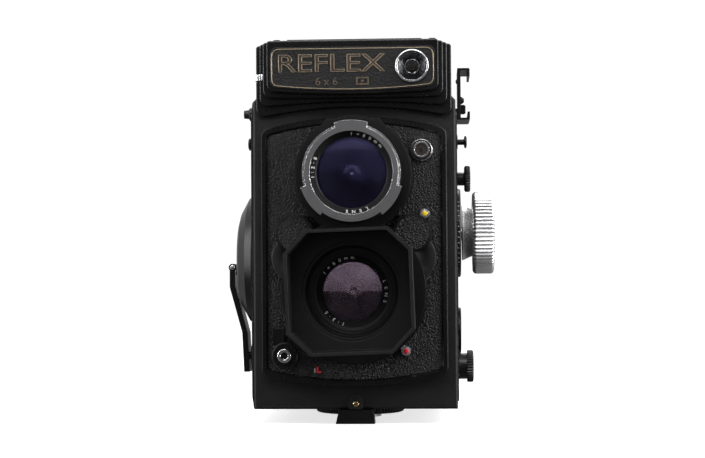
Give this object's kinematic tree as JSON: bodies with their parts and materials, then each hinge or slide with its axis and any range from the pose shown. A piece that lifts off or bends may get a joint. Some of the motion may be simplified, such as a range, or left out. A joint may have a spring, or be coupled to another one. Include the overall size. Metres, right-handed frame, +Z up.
{
  "type": "twin lens reflex camera",
  "caption": "Box-shaped roll film camera with a viewing lens over a taking lens, folding waist-level hood, winding crank, focusing knob and hinged back.",
  "frame": {"origin": "centre of the tripod socket's mouth, in the plane that the socket and the front foot stand on", "axes": "+X to the right seen from the front, the lenses face -Y, +Z up"},
  "size_m": [0.1054, 0.1164, 0.1465],
  "materials": {
    "satin_black": "satin black enamel",
    "crinkle_black": "fine crinkle enamel",
    "leatherette": "pebbled black leatherette",
    "black_plastic": "moulded, satin",
    "chrome": "polished chrome plate",
    "silver": "turned and clear anodised",
    "steel": "plain steel",
    "brass": "machined brass",
    "viewing_glass": "blue purple coating",
    "taking_glass": "amber coating",
    "clear_glass": "clear",
    "ground_glass": "ground",
    "mirror_glass": "front silvered",
    "meter_black": "printed",
    "white_marks": "engraving filled white",
    "red_mark": "red enamel",
    "yellow_mark": "yellow enamel"
  },
  "bodies": {
    "camera_body": {"body_casting": "satin_black", "film_chamber_frame": "satin_black", "film_rollers": "steel", "mirror": "mirror_glass", "focusing_screen": "ground_glass", "side_leatherettes": "leatherette", "finder_housing": "satin_black", "nameplate": "satin_black", "meter_cell_bezel": "chrome", "meter_window": "clear_glass", "hood_base": "satin_black", "winding_cover": "satin_black", "counter_window": "black_plastic", "strap_studs": "steel", "depth_of_field_ring": "satin_black", "accessory_shoe": "satin_black"},
    "front_standard": {"standard_plate": "satin_black", "front_leatherette": "leatherette", "lens_board": "satin_black", "shutter_housing": "satin_black", "shutter_blades": "steel", "taking_lens_barrel": "satin_black", "taking_lens_elements": "taking_glass", "viewing_lens_barrel": "satin_black", "viewing_bayonet_ring": "chrome", "viewing_lens_elements": "viewing_glass", "flash_socket": "chrome"},
    "meter_needle": {"meter_needle": "steel"},
    "film_speed_wheel": {"film_speed_wheel": "chrome"},
    "hood_lid": {"hood_lid": "satin_black"},
    "hood_side_flap_left": {"hood_side_flap_left": "satin_black"},
    "hood_side_flap_right": {"hood_side_flap_right": "satin_black"},
    "hood_rear_flap": {"hood_rear_flap": "satin_black"},
    "magnifier": {"magnifier_frame": "black_plastic", "magnifier_lens": "clear_glass"},
    "crank_hub": {"crank_hub": "chrome", "crank_gear": "brass"},
    "crank_arm": {"crank_arm": "satin_black"},
    "crank_handle": {"crank_handle": "black_plastic"},
    "idler_gear": {"idler_gear": "brass"},
    "take_up": {"take_up_drive": "steel", "take_up_spool": "black_plastic"},
    "counter_dial": {"counter_dial": "meter_black"},
    "focus_knob": {"focus_knob": "silver"},
    "battery_cap": {"battery_cap": "satin_black"},
    "upper_spool_knob": {"upper_spool_knob": "satin_black"},
    "lower_spool_knob": {"lower_spool_knob": "satin_black"},
    "aperture_dial": {"aperture_dial": "satin_black"},
    "shutter_speed_dial": {"shutter_speed_dial": "satin_black"},
    "flash_sync_lever": {"flash_sync_lever": "chrome"},
    "self_timer_lever": {"self_timer_lever": "chrome"},
    "shutter_button": {"shutter_button": "chrome"},
    "release_lock_ring": {"release_lock_ring": "satin_black"},
    "lens_hood": {"lens_hood": "black_plastic"},
    "back_door": {"back_door": "satin_black", "back_leatherette": "leatherette", "tripod_socket": "steel"},
    "base_latch_ring": {"base_latch_ring": "satin_black"},
    "base_latch_bar": {"base_latch_bar": "steel"},
    "pressure_plate": {"pressure_plate": "steel"}
  },
  "joints": [
    {"name": "standard_slide", "type": "slide", "parent": "camera_body", "child": "front_standard", "axis": [0, -1, 0], "range_m": [0, 0.007]},
    {"name": "focus_knob_turn", "type": "hinge", "parent": "camera_body", "child": "focus_knob", "pos_m": [0.045, 0, 0.0726], "axis": [1, 0, 0], "range_deg": [0, 240]},
    {"name": "crank_turn", "type": "hinge", "parent": "camera_body", "child": "crank_hub", "pos_m": [-0.047, -0.001, 0.0625], "axis": [1, 0, 0], "range_deg": [0, 270]},
    {"name": "idler_turn", "type": "hinge", "parent": "camera_body", "child": "idler_gear", "pos_m": [-0.037, 0.01211, 0.08164], "axis": [1, 0, 0], "range_deg": [-720, 0]},
    {"name": "take_up_turn", "type": "hinge", "parent": "camera_body", "child": "take_up", "pos_m": [-0.037, 0.0216, 0.0955], "axis": [1, 0, 0], "range_deg": [0, 450]},
    {"name": "counter_turn", "type": "hinge", "parent": "camera_body", "child": "counter_dial", "pos_m": [-0.037, 0.0108, 0.1136], "axis": [1, 0, 0], "range_deg": [0, 30]},
    {"name": "crank_fold", "type": "hinge", "parent": "crank_hub", "child": "crank_arm", "pos_m": [-0.0504, -0.001, 0.0594], "axis": [0, 1, 0], "range_deg": [0, 180]},
    {"name": "crank_handle_spin", "type": "hinge", "parent": "crank_arm", "child": "crank_handle", "pos_m": [-0.042, -0.001, 0.0243], "axis": [1, 0, 0], "continuous": true},
    {"name": "hood_lid_lift", "type": "hinge", "parent": "camera_body", "child": "hood_lid", "pos_m": [0, -0.0298, 0.1452], "axis": [1, 0, 0], "range_deg": [0, 90]},
    {"name": "hood_left_flap_swing", "type": "hinge", "parent": "camera_body", "child": "hood_side_flap_left", "pos_m": [-0.0282, 0, 0.134], "axis": [0, -1, 0], "range_deg": [0, 90]},
    {"name": "hood_right_flap_swing", "type": "hinge", "parent": "camera_body", "child": "hood_side_flap_right", "pos_m": [0.0282, 0, 0.134], "axis": [0, 1, 0], "range_deg": [0, 90]},
    {"name": "hood_rear_flap_swing", "type": "hinge", "parent": "camera_body", "child": "hood_rear_flap", "pos_m": [0, 0.0262, 0.1316], "axis": [-1, 0, 0], "range_deg": [0, 90]},
    {"name": "magnifier_swing", "type": "hinge", "parent": "hood_lid", "child": "magnifier", "pos_m": [0, 0.0002, 0.1445], "axis": [1, 0, 0], "range_deg": [-90, 0]},
    {"name": "meter_needle_swing", "type": "hinge", "parent": "camera_body", "child": "meter_needle", "pos_m": [-0.003, -0.0352, 0.141], "axis": [0, 0, 1], "range_deg": [-30, 30], "stiffness_Nm_per_rad": 0.000001},
    {"name": "film_speed_wheel_turn", "type": "hinge", "parent": "camera_body", "child": "film_speed_wheel", "pos_m": [-0.0329, -0.0359, 0.131], "axis": [0, 0, 1], "range_deg": [0, 300]},
    {"name": "aperture_dial_turn", "type": "hinge", "parent": "front_standard", "child": "aperture_dial", "pos_m": [-0.021, -0.042, 0.0625], "axis": [0, 1, 0], "range_deg": [0, 120]},
    {"name": "shutter_speed_dial_turn", "type": "hinge", "parent": "front_standard", "child": "shutter_speed_dial", "pos_m": [0.021, -0.042, 0.0625], "axis": [0, 1, 0], "range_deg": [0, 150]},
    {"name": "flash_sync_lever_move", "type": "hinge", "parent": "front_standard", "child": "flash_sync_lever", "pos_m": [0, -0.0407, 0.05], "axis": [0, 1, 0], "range_deg": [0, 10]},
    {"name": "self_timer_lever_move", "type": "hinge", "parent": "front_standard", "child": "self_timer_lever", "pos_m": [0, -0.0407, 0.05], "axis": [0, 1, 0], "range_deg": [0, 35]},
    {"name": "shutter_button_press", "type": "slide", "parent": "front_standard", "child": "shutter_button", "axis": [0, 1, 0], "range_m": [0, 0.0025], "stiffness_N_per_m": 300, "springref_m": -0.002},
    {"name": "release_lock_turn", "type": "hinge", "parent": "front_standard", "child": "release_lock_ring", "pos_m": [-0.0261, -0.041, 0.0261], "axis": [0, 1, 0], "range_deg": [-40, 0]},
    {"name": "lens_hood_twist", "type": "hinge", "parent": "front_standard", "child": "lens_hood", "pos_m": [0, -0.06, 0.05], "axis": [0, 1, 0], "range_deg": [-30, 0]},
    {"name": "upper_spool_knob_pull", "type": "slide", "parent": "camera_body", "child": "upper_spool_knob", "axis": [1, 0, 0], "range_m": [0, 0.006], "stiffness_N_per_m": 200, "springref_m": -0.003},
    {"name": "lower_spool_knob_pull", "type": "slide", "parent": "camera_body", "child": "lower_spool_knob", "axis": [1, 0, 0], "range_m": [0, 0.006], "stiffness_N_per_m": 200, "springref_m": -0.003},
    {"name": "battery_cap_turn", "type": "hinge", "parent": "camera_body", "child": "battery_cap", "pos_m": [0.039, -0.008, 0.034], "axis": [1, 0, 0], "range_deg": [0, 90]},
    {"name": "back_door_swing", "type": "hinge", "parent": "camera_body", "child": "back_door", "pos_m": [0, 0.0366, 0.1212], "axis": [1, 0, 0], "range_deg": [0, 110]},
    {"name": "base_latch_ring_turn", "type": "hinge", "parent": "back_door", "child": "base_latch_ring", "pos_m": [0, 0, 0.002], "axis": [0, 0, 1], "range_deg": [0, 90]},
    {"name": "base_latch_bar_slide", "type": "slide", "parent": "back_door", "child": "base_latch_bar", "axis": [0, -1, 0], "range_m": [0, 0.0025]},
    {"name": "pressure_plate_press", "type": "slide", "parent": "back_door", "child": "pressure_plate", "axis": [0, 1, 0], "range_m": [0, 0.0008], "stiffness_N_per_m": 400, "springref_m": -0.0005}
  ],
  "couplings": [
    {"joint": "focus_knob_turn", "follows": "standard_slide", "rad_per_m": 598.4},
    {"joint": "idler_turn", "follows": "crank_turn", "ratio": -2.625},
    {"joint": "take_up_turn", "follows": "crank_turn", "ratio": 1.6154},
    {"joint": "counter_turn", "follows": "crank_turn", "ratio": 0.1},
    {"joint": "hood_left_flap_swing", "follows": "hood_lid_lift", "ratio": 1},
    {"joint": "hood_right_flap_swing", "follows": "hood_lid_lift", "ratio": 1},
    {"joint": "hood_rear_flap_swing", "follows": "hood_lid_lift", "ratio": 1},
    {"joint": "magnifier_swing", "follows": "hood_lid_lift", "ratio": -1},
    {"joint": "base_latch_bar_slide", "follows": "base_latch_ring_turn", "m_per_rad": 0.0015915}
  ]
}
